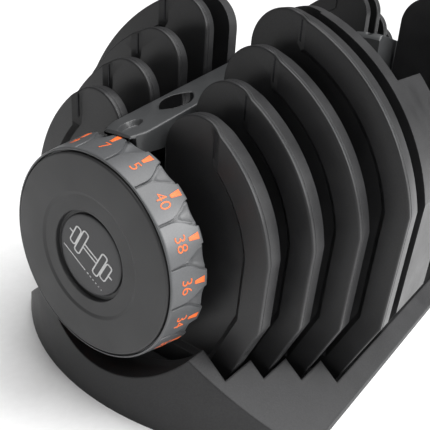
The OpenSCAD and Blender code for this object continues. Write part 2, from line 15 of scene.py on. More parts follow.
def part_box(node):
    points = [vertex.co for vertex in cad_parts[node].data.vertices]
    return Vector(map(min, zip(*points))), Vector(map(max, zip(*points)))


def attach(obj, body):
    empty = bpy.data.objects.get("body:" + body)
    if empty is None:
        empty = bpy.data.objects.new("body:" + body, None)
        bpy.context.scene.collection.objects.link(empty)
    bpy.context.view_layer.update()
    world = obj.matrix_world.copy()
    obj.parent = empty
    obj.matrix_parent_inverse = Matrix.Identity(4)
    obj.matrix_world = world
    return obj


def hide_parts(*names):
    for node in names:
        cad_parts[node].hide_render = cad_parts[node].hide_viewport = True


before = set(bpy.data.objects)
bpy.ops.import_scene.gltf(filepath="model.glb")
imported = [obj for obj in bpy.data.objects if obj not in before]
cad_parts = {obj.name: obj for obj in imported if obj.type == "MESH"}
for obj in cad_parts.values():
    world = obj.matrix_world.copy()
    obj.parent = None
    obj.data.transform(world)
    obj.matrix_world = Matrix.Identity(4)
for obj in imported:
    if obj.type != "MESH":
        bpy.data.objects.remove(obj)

LOG = logging.getLogger("dumbbell")
MM = 0.001
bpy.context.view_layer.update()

Point2 = tuple[float, float]


class End(Enum):
    """The two ends of the dumbbell, named as in the frame."""

    LEFT = "left"
    RIGHT = "right"


class Face(Enum):
    """The two broad faces of a plate."""

    DIAL_SIDE = 1
    GRIP_SIDE = -1


# ---------------------------------------------------------------- materials


def srgb(code: str) -> tuple[float, float, float, float]:
    """Turns an sRGB hex colour into linear RGBA.

    Args:
        code: Six hex digits after a hash sign.

    Returns:
        The linear colour with an alpha of 1.
    """
    channels = [int(code[i:i + 2], 16) / 255 for i in (1, 3, 5)]
    linear = [c / 12.92 if c <= 0.04045 else ((c + 0.055) / 1.055) ** 2.4 for c in channels]
    return (linear[0], linear[1], linear[2], 1.0)


def add_node(tree: bpy.types.NodeTree, kind: str, inputs: dict | None = None, **settings) -> bpy.types.Node:
    """Adds a node, with its settings, values and links.

    Args:
        tree: The node tree that takes the node.
        kind: The node's type name.
        inputs: A value or an output socket for each input, by name or index.
        **settings: Attributes of the node itself.

    Returns:
        The new node.
    """
    node = tree.nodes.new(kind)
    for name, value in settings.items():
        setattr(node, name, value)
    for name, value in (inputs or {}).items():
        if isinstance(value, bpy.types.NodeSocket):
            tree.links.new(value, node.inputs[name])
        else:
            node.inputs[name].default_value = value
    return node


@dataclass(frozen=True)
class Finish:
    """A surface finish, built as one node material.

    Attributes:
        name: What the material is.
        dark: sRGB colour in the low spots of its mottling.
        light: sRGB colour in the high spots.
        roughness: Middle roughness.
        spread: How far roughness wanders to each side of the middle.
        grain_mm: Size of the moulded or ground grain.
        grain_depth_mm: Height of that grain.
        stretch: How much longer the grain is along X than across it.
        cloud_mm: Size of the slow colour variation.
        metallic: 1 for bare metal.
        ior: Index of refraction, left alone on metals.
        coat: Weight of a clear coat.
        edge_mm: Radius of the moulded or broken edges.
    """

    name: str
    dark: str
    light: str
    roughness: float
    spread: float = 0.05
    grain_mm: float = 0.6
    grain_depth_mm: float = 0.02
    stretch: float = 1.0
    cloud_mm: float = 18.0
    metallic: float = 0.0
    ior: float = 1.5
    coat: float = 0.0
    edge_mm: float = 0.5

    def build(self) -> bpy.types.Material:
        """Builds the node material, or returns the one that is already there."""
        known = bpy.data.materials.get(self.name)
        if known:
            return known
        material = bpy.data.materials.new(self.name)
        material.use_nodes = True
        tree = material.node_tree
        tree.nodes.clear()
        place = add_node(tree, "ShaderNodeTexCoord").outputs["Object"]
        along = add_node(tree, "ShaderNodeMapping", {"Vector": place, "Scale": (1 / self.stretch, 1, 1)})
        grain = add_node(tree, "ShaderNodeTexNoise", {
            "Vector": along.outputs["Vector"], "Scale": 1 / (self.grain_mm * MM), "Detail": 3.0,
            "Roughness": 0.6})
        cloud = add_node(tree, "ShaderNodeTexNoise", {
            "Vector": place, "Scale": 1 / (self.cloud_mm * MM), "Detail": 4.0, "Roughness": 0.55})
        blend = add_node(tree, "ShaderNodeMath", {0: grain.outputs["Fac"], 1: cloud.outputs["Fac"]},
                         operation="ADD")
        share = add_node(tree, "ShaderNodeMapRange", {
            "Value": blend.outputs["Value"], "From Min": 0.7, "From Max": 1.3})
        # Sockets 0, 6 and 7 are the Mix node's factor and its two colours.
        colour = add_node(tree, "ShaderNodeMix", {
            0: share.outputs["Result"], 6: srgb(self.dark), 7: srgb(self.light)}, data_type="RGBA")
        rough = add_node(tree, "ShaderNodeMapRange", {
            "Value": cloud.outputs["Fac"], "From Min": 0.3, "From Max": 0.7,
            "To Min": self.roughness - self.spread, "To Max": self.roughness + self.spread})
        soft_edge = add_node(tree, "ShaderNodeBevel", {"Radius": self.edge_mm * MM}, samples=4)
        bump = add_node(tree, "ShaderNodeBump", {
            "Height": grain.outputs["Fac"], "Distance": self.grain_depth_mm * MM, "Strength": 1.0,
            "Normal": soft_edge.outputs["Normal"]})
        shader = add_node(tree, "ShaderNodeBsdfPrincipled", {
            "Base Color": colour.outputs[2], "Roughness": rough.outputs["Result"],
            "Metallic": self.metallic, "Coat Weight": self.coat, "Normal": bump.outputs["Normal"]})
        if not self.metallic:
            shader.inputs["IOR"].default_value = self.ior
        add_node(tree, "ShaderNodeOutputMaterial", {"Surface": shader.outputs["BSDF"]})
        return material


# Glass-filled nylon over the steel weights, with a fine grain drawn out along the grip's direction.
PLATE_NYLON = Finish("Plate cover, moulded nylon", "#1e1e1f", "#2b2b2c", 0.4, grain_mm=0.7,
                     grain_depth_mm=0.05, stretch=4.0, ior=1.42)
# Polypropylene with a coarser leather-like grain, paler and duller than the plates.
TRAY_POLYPROPYLENE = Finish("Tray, moulded polypropylene", "#262627", "#323233", 0.5, grain_mm=1.0,
                            grain_depth_mm=0.07, edge_mm=1.6, ior=1.33)
# ABS with a satin grain, in a mid grey that catches the light around the dial.
RING_ABS = Finish("Dial ring, satin moulded ABS", "#4b4c4d", "#57585a", 0.36, grain_mm=0.7,
                  grain_depth_mm=0.012)
# Soft-touch lacquer over ABS: smooth, dark and even.
FACE_ABS = Finish("Dial face, soft-touch ABS", "#262627", "#2a2a2b", 0.5, grain_mm=0.5,
                  grain_depth_mm=0.008)
BADGE_ABS = Finish("Dial badge, satin ABS", "#2b2b2d", "#313133", 0.45, grain_mm=0.5, grain_depth_mm=0.01)
EMBLEM_INK = Finish("Emblem, pad-printed pale ink", "#c9c9ca", "#dcdcdc", 0.5, grain_mm=0.4,
                    grain_depth_mm=0.005)
NUMBER_INK = Finish("Numbers, pad-printed orange ink", "#f0611c", "#ff7a3a", 0.45, grain_mm=0.5,
                    grain_depth_mm=0.008)
BRIDGE_ABS = Finish("Bridge cover, semi-gloss ABS", "#3a3b3c", "#424344", 0.34, grain_mm=0.8,
                    grain_depth_mm=0.006)
WINDOW_ACRYLIC = Finish("Window, smoked acrylic", "#060607", "#0b0b0c", 0.08, spread=0.02, grain_mm=3.0,
                        grain_depth_mm=0.002, coat=0.5, ior=1.49)
GUARD_ABS = Finish("Guard, moulded ABS", "#2c2c2d", "#343435", 0.42, grain_mm=0.8, grain_depth_mm=0.02)
GRIP_RUBBER = Finish("Grip, moulded rubber", "#1c1c1d", "#232324", 0.7, grain_mm=0.8, grain_depth_mm=0.05)
FOOT_RUBBER = Finish("Foot, soft rubber", "#171718", "#1e1e1f", 0.8, grain_mm=0.8, grain_depth_mm=0.04)
GROUND_STEEL = Finish("Ground steel, zinc plated", "#9c9ea2", "#b5b7bb", 0.3, grain_mm=0.35,
                      grain_depth_mm=0.006, stretch=8.0, metallic=1.0)
CAST_STEEL = Finish("Weight core, black oxide steel", "#2b2b2d", "#38383a", 0.5, grain_mm=0.9,
                    grain_depth_mm=0.04, metallic=1.0)
HUB_NYLON = Finish("Hub, glass-filled nylon", "#232425", "#2c2d2e", 0.5, grain_mm=0.7, grain_depth_mm=0.02)
DISC_ACETAL = Finish("Selector disc, moulded acetal", "#1d1d1e", "#262627", 0.35, grain_mm=0.8,
                     grain_depth_mm=0.01)
BUSH_BRONZE = Finish("Bush, sintered bronze", "#8c6a35", "#b08a4c", 0.4, grain_mm=0.4,
                     grain_depth_mm=0.02, metallic=1.0)

NODE_FINISHES: dict[str, Finish] = {
    "tray_feet": FOOT_RUBBER, "tray_screws": GROUND_STEEL, "tray_dividers": TRAY_POLYPROPYLENE,
    "tray_shell": TRAY_POLYPROPYLENE, "unlock_posts": HUB_NYLON, "axle_nuts": GROUND_STEEL,
    "axle": GROUND_STEEL, "grip_tube": GROUND_STEEL, "grip_rubber": GRIP_RUBBER, "guard": GUARD_ABS,
    "bridge_screws": GROUND_STEEL, "bridge": BRIDGE_ABS, "window": WINDOW_ACRYLIC,
    "detent": GROUND_STEEL, "lock_pawl": GROUND_STEEL, "pawl_spring": GROUND_STEEL,
    "dial_ring": RING_ABS, "dial_face": FACE_ABS, "dial_badge": BADGE_ABS, "dial_screws": GROUND_STEEL,
    "hub_bushes": BUSH_BRONZE, "hub": HUB_NYLON, "selector_discs": DISC_ACETAL, "lock_ring": GROUND_STEEL,
}


def dress_frame_nodes() -> None:
    """Gives each node carried over from the frame the finish of its kind."""
    for name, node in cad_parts.items():
        if name.startswith("plate_"):
            finish = CAST_STEEL if "_core_" in name else PLATE_NYLON
        else:
            finish = next(f for start, f in NODE_FINISHES.items() if name.startswith(start))
        node.data.materials.clear()
        node.data.materials.append(finish.build())


# ---------------------------------------------------------------- shapes


def end_matrix(end: End) -> Matrix:
    """Places an end's own axes: X inward from the dial face, Z up from the grip axis."""
    low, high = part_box("dial_face_left")
    place = Matrix.Translation((low[0], 0, (low[2] + high[2]) / 2))
    return place if end is End.LEFT else Matrix.Rotation(math.pi, 4, "Z") @ place


def depth_range(node: str, end: End) -> tuple[float, float]:
    """Gives how far inward from the dial face a node starts and stops, in millimetres."""
    low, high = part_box(node)
    half = -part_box("dial_face_left")[0][0]
    near, far = (low[0], high[0]) if end is End.LEFT else (-high[0], -low[0])
    return (near + half) / MM, (far + half) / MM


def rounded(corners: Sequence[tuple[float, float, float]], steps: int = 5) -> list[Point2]:
    """Rounds the inner corners of an open outline.

    Args:
        corners: Points as (a, b, corner radius), all in one unit.
        steps: Pieces in each rounded corner.

    Returns:
        The points of the rounded outline.
    """
    points: list[Point2] = [(corners[0][0], corners[0][1])]
    for before, here, after in zip(corners, corners[1:], corners[2:]):
        p = Vector(here[:2])
        back, ahead = (Vector(before[:2]) - p), (Vector(after[:2]) - p)
        half_turn = back.angle(ahead) / 2
        if here[2] <= 0 or half_turn > math.radians(89):
            points.append((p.x, p.y))
            continue
        reach = min(here[2] / math.tan(half_turn), back.length * 0.49, ahead.length * 0.49)
        radius = reach * math.tan(half_turn)
        centre = p + (back.normalized() + ahead.normalized()).normalized() * (radius / math.sin(half_turn))
        start, stop = p + back.normalized() * reach - centre, p + ahead.normalized() * reach - centre
        sweep = start.angle_signed(stop)
        for i in range(steps + 1):
            turned = start.copy()
            turned.rotate(Matrix.Rotation(-sweep * i / steps, 2))
            points.append((centre.x + turned.x, centre.y + turned.y))
    points.append((corners[-1][0], corners[-1][1]))
    return points


class Shell:
    """Collects points and faces in millimetres and turns them into one object."""

    def __init__(self) -> None:
        """Starts an empty shell."""
        self.points: list[tuple[float, float, float]] = []
        self.faces: list[tuple[int, ...]] = []

    def add(self, points: Iterable[tuple[float, float, float]]) -> list[int]:
        """Adds points and returns their numbers."""
        first = len(self.points)
        self.points.extend(points)
        return list(range(first, len(self.points)))

    def join(self, a: Sequence[int], b: Sequence[int], closed: bool = True) -> None:
        """Joins two rows of the same length with four-sided faces."""
        count = len(a)
        for i in range(count if closed else count - 1):
            j = (i + 1) % count
            corners = tuple(dict.fromkeys((a[i], a[j], b[j], b[i])))
            if len(corners) > 2:
                self.faces.append(corners)

    def cap(self, row: Sequence[int]) -> None:
        """Closes a row with one face."""
        self.faces.append(tuple(row))

    def revolve(self, profile: Sequence[Point2], sides: int, turn: float = 0.0,
                closed: bool = False) -> None:
        """Turns a profile of (x, radius) points about the X axis.

        Args:
            profile: The points, in order.
            sides: Facets around the axis.
            turn: Angle of the first facet, in radians.
            closed: Whether the last point joins the first.
        """
        rows = []
        for x, r in profile:
            if r < 1e-6:
                rows.append(self.add([(x, 0.0, 0.0)]) * sides)
                continue
            rows.append(self.add((x, r * math.sin(turn + math.tau * i / sides),
                                  r * math.cos(turn + math.tau * i / sides)) for i in range(sides)))
        for a, b in zip(rows, rows[1:] + (rows[:1] if closed else [])):
            self.join(a, b)

    def build(self, name: str, finish: Finish, place: Matrix, crease: float = 35.0) -> bpy.types.Object:
        """Makes the object.

        Args:
            name: The piece's name.
            finish: Its finish.
            place: Where its own axes lie, in metres.
            crease: Edges that turn by more degrees than this stay crisp.

        Returns:
            The object, smooth-shaded between its creases.
        """
        mesh = bpy.data.meshes.new(name)
        mesh.from_pydata([place @ (Vector(p) * MM) for p in self.points], [], self.faces)
        return finished(mesh, name, finish, crease)


def finished(mesh: bpy.types.Mesh, name: str, finish: Finish, crease: float = 35.0) -> bpy.types.Object:
    """Cleans a mesh, turns its faces outward, shades it and links it as an object.

    Args:
        mesh: The mesh.
        name: The object's name.
        finish: Its finish.
        crease: Edges that turn by more degrees than this stay crisp.

    Returns:
        The object.
    """
    work = bmesh.new()
    work.from_mesh(mesh)
    bmesh.ops.remove_doubles(work, verts=work.verts, dist=0.002 * MM)
    bmesh.ops.recalc_face_normals(work, faces=work.faces)
    work.to_mesh(mesh)
    work.free()
    mesh.polygons.foreach_set("use_smooth", [True] * len(mesh.polygons))
    mesh.set_sharp_from_angle(angle=math.radians(crease))
    mesh.materials.append(finish.build())
    piece = bpy.data.objects.new(name, mesh)
    bpy.context.scene.collection.objects.link(piece)
    return piece


# ---------------------------------------------------------------- plates


@dataclass
class Plate:
    """A weight plate: a moulded cover with a raised rim and two lobes beside the channel.

    Attributes:
        letter: Which plate, from a at the dial to e at the grip.
        end: Which end it stands at.
        wide_z: Height of its widest point above the grip axis.
        corner_z: Depth of its lower corner below the axis.
    """

    letter: str
    end: End
    wide_z: float
    corner_z: float
    channel_w: float = 14.5
    lobe_r: float = 18.5
    rim_w: float = 12.0
    jog_y: float = 42.0
    slope_w: float = 5.0
    front_step: float = 2.4
    back_step: float = 1.0
    edge_r: float = 0.8
    edge_margin: float = 0.5
    seam_at: float = 2.5
    seam_half_w: float = 0.35
    seam_depth: float = 0.35
    side_draft: float = math.tan(math.radians(2))
    foot_slope: float = math.tan(math.radians(24))

    def __post_init__(self) -> None:
        """Takes the plate's place and outer sizes from the frame."""
        self.node = f"plate_{self.letter}_cover_{self.end.value}"
        low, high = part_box(self.node)
        axis_z = sum(corner[2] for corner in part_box("dial_face_left")) / 2
        self.wide_y = high[1] / MM
        self.radius = math.hypot(self.wide_y, self.wide_z)
        self.foot_z = (axis_z - low[2]) / MM
        self.front = depth_range(self.node, self.end)[0]

    def knee(self, g: float) -> Point2:
        """Gives the lower corner of the outline grown by g."""
        slant = math.hypot(1, self.foot_slope)
        z = -(self.corner_z + g * (slant - 1) / (self.foot_slope - self.side_draft))
        return self.wide_y + g - (self.wide_z - z) * self.side_draft, z

    def widest(self, g: float) -> Point2:
        """Gives the point where the grown rim circle meets the grown side."""
        z = self.wide_z
        for _ in range(8):
            y = self.wide_y + g - (self.wide_z - z) * self.side_draft
            z = math.sqrt((self.radius + g) ** 2 - y * y)
        return y, z

    def foot(self, g: float) -> Point2:
        """Gives the outer end of the flat foot of the outline grown by g."""
        corner = self.knee(0)
        slant = math.hypot(1, self.foot_slope)
        z = self.foot_z + g
        return corner[0] - (z - self.corner_z) * self.foot_slope + g * slant, -z

    def rim_side(self, g: float, start_y: float) -> list[Point2]:
        """Lists the outline's points from y = start_y on the rim circle down to the foot's middle.

        Args:
            g: Growth of the outline, negative for an inset.
            start_y: Where on the circle the row starts.

        Returns:
            Points as (y, z), always the same number of them.
        """
        r = self.radius + g
        wide, knee, foot = self.widest(g), self.knee(g), self.foot(g)
        a0, a1 = math.acos(min(1, start_y / r)), math.atan2(wide[1], wide[0])
        row = [(r * math.cos(a0 + (a1 - a0) * i / 40), r * math.sin(a0 + (a1 - a0) * i / 40))
               for i in range(41)]
        row += [self.between(wide, knee, i / 10) for i in range(1, 11)]
        row += [self.between(knee, foot, i / 10) for i in range(1, 11)]
        row += [self.between(foot, (0.0, foot[1]), i / 8) for i in range(1, 9)]
        return row

    @staticmethod
    def between(a: Point2, b: Point2, t: float) -> Point2:
        """Gives the point a share t of the way from a to b."""
        return a[0] + (b[0] - a[0]) * t, a[1] + (b[1] - a[1]) * t

    def outline(self, g: float) -> list[Point2]:
        """Lists the whole closed outline grown by g, as (y, z) points."""
        w = self.channel_w - g
        r = self.lobe_r + g
        cy = w + r
        cz = math.sqrt((self.radius + g - r) ** 2 - cy * cy)
        half = [(w * math.sin(a), -w * math.cos(a)) for a in (math.pi / 2 * i / 12 for i in range(13))]
        half += [(w, cz * i / 14) for i in range(1, 15)]
        stop = math.atan2(cz, cy)
        half += [(cy + r * math.cos(a), cz + r * math.sin(a))
                 for a in (math.pi + (stop - math.pi) * i / 16 for i in range(1, 17))]
        crest = self.radius + g
        last = math.acos((self.jog_y + self.slope_w) / crest)
        turns = [stop + (last - stop) * i / 8 for i in range(1, 9)]
        half += [(crest * math.cos(a), crest * math.sin(a)) for a in turns]
        half += self.rim_side(g, self.jog_y + self.slope_w)[1:]
        return half + [(-y, z) for y, z in half[-2:0:-1]]

    def level(self, y: float, z: float, step: float) -> float:
        """Gives how deep the face lies below the rim at the top of the lobes, where z > 0."""
        if z <= 0:
            return 0.0
        return step * min(1.0, max(0.0, (self.jog_y + self.slope_w - abs(y)) / self.slope_w))

    def edge_level(self, point: Point2, step: float) -> float:
        """Gives the recess depth at a point on the outline: full in the channel, none down the sides."""
        y, z = point
        in_channel = abs(y) < self.jog_y and z > -self.channel_w - 3
        return step if in_channel else self.level(y, z, step)

    def nearest_on_rim(self, ring: Sequence[Point2], y: float) -> int:
        """Gives the number of the point nearest to y on the rim circle above the widest height."""
        above = [i for i, p in enumerate(ring) if p[1] > 0 and p[0] * y > 0]
        far_off = 99.0
        return min(above, key=lambda i: abs(ring[i][0] - y) + (ring[i][1] < self.wide_z) * far_off)

    def face(self, shell: Shell, edge: list[int], side: Face) -> None:
        """Fills one broad face inside its edge row, with its recess and the recess's slope.

        Args:
            shell: The shell that takes the faces.
            edge: The row of points around the face.
            side: Which face.
        """
        step = self.front_step if side is Face.DIAL_SIDE else self.back_step
        x_rim = self.front if side is Face.DIAL_SIDE else self.front + self.thickness
        ring = [(shell.points[i][1], shell.points[i][2]) for i in edge]
        flat: list[Point2] = list(ring)
        levels = [abs(shell.points[i][0] - x_rim) for i in edge]
        lines: list[tuple[int, int]] = []
        for inset, y_line, depth in ((-self.rim_w, self.jog_y + self.slope_w, 0.0),
                                     (-self.rim_w - self.slope_w / 2, self.jog_y, step)):
            start, mirror = (self.nearest_on_rim(ring, sign * y_line) for sign in (1, -1))
            row = self.rim_side(inset, y_line)
            top = ring[start]
            drop = [self.between(top, row[0], t / 6) for t in range(1, 6)]
            chain = drop + row
            chain = chain + [(-y, z) for y, z in chain[-2::-1]]
            first = len(flat)
            flat += chain
            levels += [depth] * len(chain)
            numbers = [start, *range(first, len(flat)), mirror]
            lines += list(zip(numbers, numbers[1:]))
        count = len(ring)
        vertices, _, triangles, sources, _, _ = delaunay_2d_cdt(
            [Vector(p) for p in flat], lines, [list(range(count))], 1, 1e-5)
        numbers = []
        for vertex, source in zip(vertices, sources):
            if source and source[0] < count:
                numbers.append(edge[source[0]])
            else:
                depth = levels[source[0]] if source else step
                numbers += shell.add([(x_rim + side.value * depth, vertex.x, vertex.y)])
        shell.faces += [tuple(numbers[i] for i in t) for t in triangles]

    @property
    def thickness(self) -> float:
        """Thickness of the plate at its raised rim."""
        return plate_thickness()

    def build(self) -> bpy.types.Object:
        """Builds the cover and hides the node that it stands for."""
        shell = Shell()
        front, back = self.front, self.front + self.thickness
        turn = [math.radians(a) for a in (0, 22, 45, 68, 90)]
        rows: list[list[int]] = []

        def row(g: float, x: float, step: float, inward: float) -> None:
            """Adds the outline grown by g at x, set back by the recess where there is one."""
            outline = self.outline(g)
            rows.append(shell.add((x + inward * self.edge_level(p, step), p[0], p[1]) for p in outline))

        r = self.edge_r
        row(-r - self.edge_margin, front, self.front_step, 1)
        for a in turn:
            row(-r * (1 - math.sin(a)), front + r * (1 - math.cos(a)), self.front_step, 1)
        for offset, depth in ((-self.seam_half_w, 0.0), (0.0, self.seam_depth), (self.seam_half_w, 0.0)):
            row(-depth, front + self.seam_at + offset, self.front_step, 1)
        for a in reversed(turn):
            row(-r * (1 - math.sin(a)), back - r * (1 - math.cos(a)), self.back_step, -1)
        row(-r - self.edge_margin, back, self.back_step, -1)
        for a, b in zip(rows, rows[1:]):
            shell.join(a, b)
        self.face(shell, rows[0], Face.DIAL_SIDE)
        self.face(shell, rows[-1], Face.GRIP_SIDE)
        piece = shell.build(f"{self.node}_moulding", PLATE_NYLON, end_matrix(self.end), crease=25.0)
        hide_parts(self.node)
        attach(piece, f"plate_a_{self.end.value}" if self.letter == "a" else "tray")
        return piece


def plate_thickness() -> float:
    """Gives the thickness of a plate at its rim, from plate A's place in the frame."""
    low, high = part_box("plate_a_cover_left")
    return (high[0] - low[0]) / MM


# ---------------------------------------------------------------- dial


@dataclass
class Dial:
    """One dial: its numbered ring, face, badge and emblem.

    Attributes:
        end: Which end it turns at.
        settings: Number of weight settings around the ring.
    """

    end: End
    settings: int = 17
    face_r: float = 50.0
    groove: float = 0.7
    ring_front_r: float = 51.8
    ring_back_r: float = 55.0
    ring_wall: float = 3.0
    badge_recess_r: float = 22.7
    badge_r: float = 20.7
    badge_depth: float = 3.2
    step_r: float = 31.3
    panel_half: float = 9.9
    panel_tip: float = 4.0
    hollow_depth: float = 1.3
    first_mark: float = 2.5
    badge_sink: float = 1.6
    dome_fall: float = 0.25
    emblem_tilt: float = 31.8
    emblem_sink: float = 1.55
    line_w: float = 0.75
    rule_w: float = 0.55
    panel_taper_x: float = 6.0
    panel_taper_power: float = 1.35
    hollow_x: float = 5.0
    hollow_run: float = 10.0
    lip_depth: float = 1.1
    lip_round: float = 0.6
    lip_w: float = 0.35
    ink_lift: float = 0.12
    ink_sink: float = 0.1
    wedge_x: float = 13.6
    wedge_l: float = 5.6
    wedge_half: float = 0.85
    wedge_flare: float = 0.8
    digit_size: float = 8.1
    digit_thinning: float = 0.07
    digit_x: float = 6.5
    digit_turn: float = 0.6
    weights: tuple[int, ...] = (7, 5, 40, 38, 36, 34, 32, 29, 27, 25, 23, 20, 18, 16, 14, 11, 9)

    def __post_init__(self) -> None:
        """Takes the ring's place from the frame."""
        self.place = end_matrix(self.end)
        self.ring_start, self.ring_stop = depth_range(f"dial_ring_{self.end.value}", self.end)
        self.face_start, self.face_stop = depth_range(f"dial_face_{self.end.value}", self.end)
        self.body = f"dial_{self.end.value}"

    def cone_r(self, x: float) -> float:
        """Gives the ring's outer radius before its panels are shaped."""
        share = (x - self.ring_start) / (self.ring_stop - self.ring_start)
        return self.ring_front_r + (self.ring_back_r - self.ring_front_r) * share

    def panel_edge(self, x: float) -> float:
        """Gives a panel's half width in degrees, full at the front and narrowing to its tip."""
        t = min(1.0, max(0.0, (x - self.panel_taper_x) / (self.ring_stop - self.panel_taper_x)))
        bell = 0.5 + 0.5 * math.cos(math.pi * t ** self.panel_taper_power)
        return self.panel_tip + (self.panel_half - self.panel_tip) * bell

    def surface_r(self, x: float, degrees: float) -> float:
        """Gives the ring's outer radius with its panels and finger hollows.

        Args:
            x: Distance inward from the dial face.
            degrees: Angle from the nearest panel's middle.

        Returns:
            The radius in millimetres.
        """
        edge = self.panel_edge(x)
        half_pitch = 180 / self.settings
        beyond = abs(degrees) - edge
        r = self.cone_r(x)
        if beyond <= 0:
            return r
        room = max(1e-3, half_pitch - edge)
        share = min(1.0, beyond / room)
        reach = min(1.0, max(0.0, (x - self.hollow_x) / self.hollow_run))
        lip = self.lip_depth * min(1.0, beyond / self.lip_w)
        lip -= self.lip_round * min(1.0, max(0.0, beyond - 0.5))
        scoop = self.hollow_depth * reach ** 1.3 * math.sin(share * math.pi / 2) ** 0.8
        return r - lip * min(1.0, room / 0.6) - scoop

    def ring(self) -> bpy.types.Object:
        """Builds the numbered ring with a grid that follows the panels' edges."""
        shell = Shell()
        pitch = 360 / self.settings
        stations = [self.ring_start + 1.2 + (self.ring_stop - self.ring_start - 2.0) * i / 36
                    for i in range(37)]
        shares = [i / 7 for i in range(8)]
        rows = []

        def angles(x: float) -> list[float]:
            """Lists one setting's angles at x, closest together beside the panel's edges."""
            edge = self.panel_edge(x)
            half = pitch / 2
            inner = [edge * s for s in shares]
            step = min(0.35, (half - edge) * 0.3)
            outer = [edge + step + (half - edge - step) * (i / 9) ** 1.4 for i in range(10)]
            right = inner + outer
            return [-a for a in right[:0:-1]] + right[:-1]

        def loop(x: float, inset: float) -> list[int]:
            """Adds a row around the shaped surface, sunk by the inset."""
            points = []
            for k in range(self.settings):
                middle = k * pitch + self.first_mark
                for a in angles(x):
                    r = self.surface_r(x, a) - inset
                    turn = math.radians(middle + a)
                    points.append((x, -r * math.sin(turn), r * math.cos(turn)))
            return shell.add(points)

        def circle(x: float, r: float) -> list[int]:
            """Adds a plain round row whose points line up with the panels' rows."""
            points = []
            for k in range(self.settings):
                for a in angles(x):
                    turn = math.radians(k * pitch + self.first_mark + a)
                    points.append((x, -r * math.sin(turn), r * math.cos(turn)))
            return shell.add(points)

        bore = self.ring_front_r - self.ring_wall
        start, stop = self.ring_start, self.ring_stop
        rows.append(circle(start + 8, bore))
        rows.append(circle(start + 2.0, bore))
        rows.append(circle(start + 2.0, self.face_r + self.groove))
        rows.append(circle(start + 0.3, self.face_r + self.groove))
        rows.append(circle(start, self.face_r + self.groove + 0.25))
        rows.append(circle(start, self.ring_front_r - 0.7))
        rows.append(circle(start + 0.25, self.ring_front_r - 0.2))
        rows.append(circle(start + 0.7, self.cone_r(start + 0.7)))
        rows += [loop(x, 0.0) for x in stations]
        rows.append(loop(stop - 0.5, 0.12))
        rows.append(loop(stop - 0.15, 0.45))
        rows.append(loop(stop, 0.95))
        rows.append(circle(stop, bore + 0.4))
        rows.append(circle(stop - 0.4, bore))
        rows.append(circle(start + 8, bore))
        for a, b in zip(rows, rows[1:]):
            shell.join(a, b)
        piece = shell.build(f"dial_ring_{self.end.value}_panels", RING_ABS, self.place, crease=28.0)
        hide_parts(f"dial_ring_{self.end.value}")
        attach(piece, self.body)
        return piece

    def on_ring(self, x: float, degrees: float, lift: float) -> tuple[float, float, float]:
        """Gives a point on the ring's outer surface, lifted off it."""
        r = self.cone_r(x) + lift
        turn = math.radians(degrees)
        return (x, -r * math.sin(turn), r * math.cos(turn))

    def markings(self) -> bpy.types.Object:
        """Builds the numbers and their wedge marks as thin ink on the panels."""
        shell = Shell()
        pitch = 360 / self.settings
        for k, weight in enumerate(self.weights):
            middle = self.first_mark + k * pitch
            self.wedge(shell, middle)
            self.number(shell, str(weight), middle + self.digit_turn)
        piece = shell.build(f"dial_numbers_{self.end.value}", NUMBER_INK, self.place)
        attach(piece, self.body)
        return piece

    def wedge(self, shell: Shell, middle: float) -> None:
        """Adds the tapered mark that points from the plates to a number."""
        tops, bottoms = [], []
        for i in range(7):
            t = i / 6
            x = self.wedge_x + self.wedge_l * t
            half = self.wedge_half + self.wedge_flare * t
            across = [-half, 0.0, half]
            tops.append(shell.add(self.on_ring(x, middle + a, self.ink_lift) for a in across))
            bottoms.append(shell.add(self.on_ring(x, middle + a, -self.ink_sink) for a in across))
        for a, b in zip(tops, tops[1:]):
            shell.join(a, b, closed=False)
        for a, b in zip(bottoms, bottoms[1:]):
            shell.join(a, b, closed=False)
        for side in (0, 2):
            shell.join([t[side] for t in tops], [b[side] for b in bottoms], closed=False)
        for row in (0, -1):
            shell.join(tops[row], bottoms[row], closed=False)

    def number(self, shell: Shell, text: str, middle: float) -> None:
        """Adds a number whose digits stand with their tops towards the plates.

        Args:
            shell: The shell that takes the digits.
            text: The digits.
            middle: The number's middle around the ring, in degrees.
        """
        curve = bpy.data.curves.new("digits", "FONT")
        curve.body = text
        curve.size = self.digit_size
        curve.offset = -self.digit_thinning
        curve.resolution_u = 3
        curve.align_x = "CENTER"
        holder = bpy.data.objects.new("digits", curve)
        bpy.context.scene.collection.objects.link(holder)
        mesh = bpy.data.meshes.new_from_object(holder.evaluated_get(bpy.context.evaluated_depsgraph_get()))
        bpy.data.objects.remove(holder)
        work = bmesh.new()
        work.from_mesh(mesh)
        bmesh.ops.remove_doubles(work, verts=work.verts, dist=1e-4)
        bmesh.ops.triangulate(work, faces=work.faces)
        base_x = self.digit_x
        arc = math.degrees(1 / self.cone_r(base_x + 2))
        flat = {v.index: (v.co.x, v.co.y) for v in work.verts}
        top = dict(zip(flat, shell.add(
            self.on_ring(base_x + y, middle + x * arc, self.ink_lift) for x, y in flat.values())))
        under = dict(zip(flat, shell.add(
            self.on_ring(base_x + y, middle + x * arc, -self.ink_sink) for x, y in flat.values())))
        for face in work.faces:
            shell.faces.append(tuple(top[v.index] for v in face.verts))
            shell.faces.append(tuple(under[v.index] for v in reversed(face.verts)))
        for edge in work.edges:
            if len(edge.link_faces) == 1:
                a, b = edge.verts
                shell.faces.append((top[a.index], top[b.index], under[b.index], under[a.index]))
        work.free()
        bpy.data.meshes.remove(mesh)

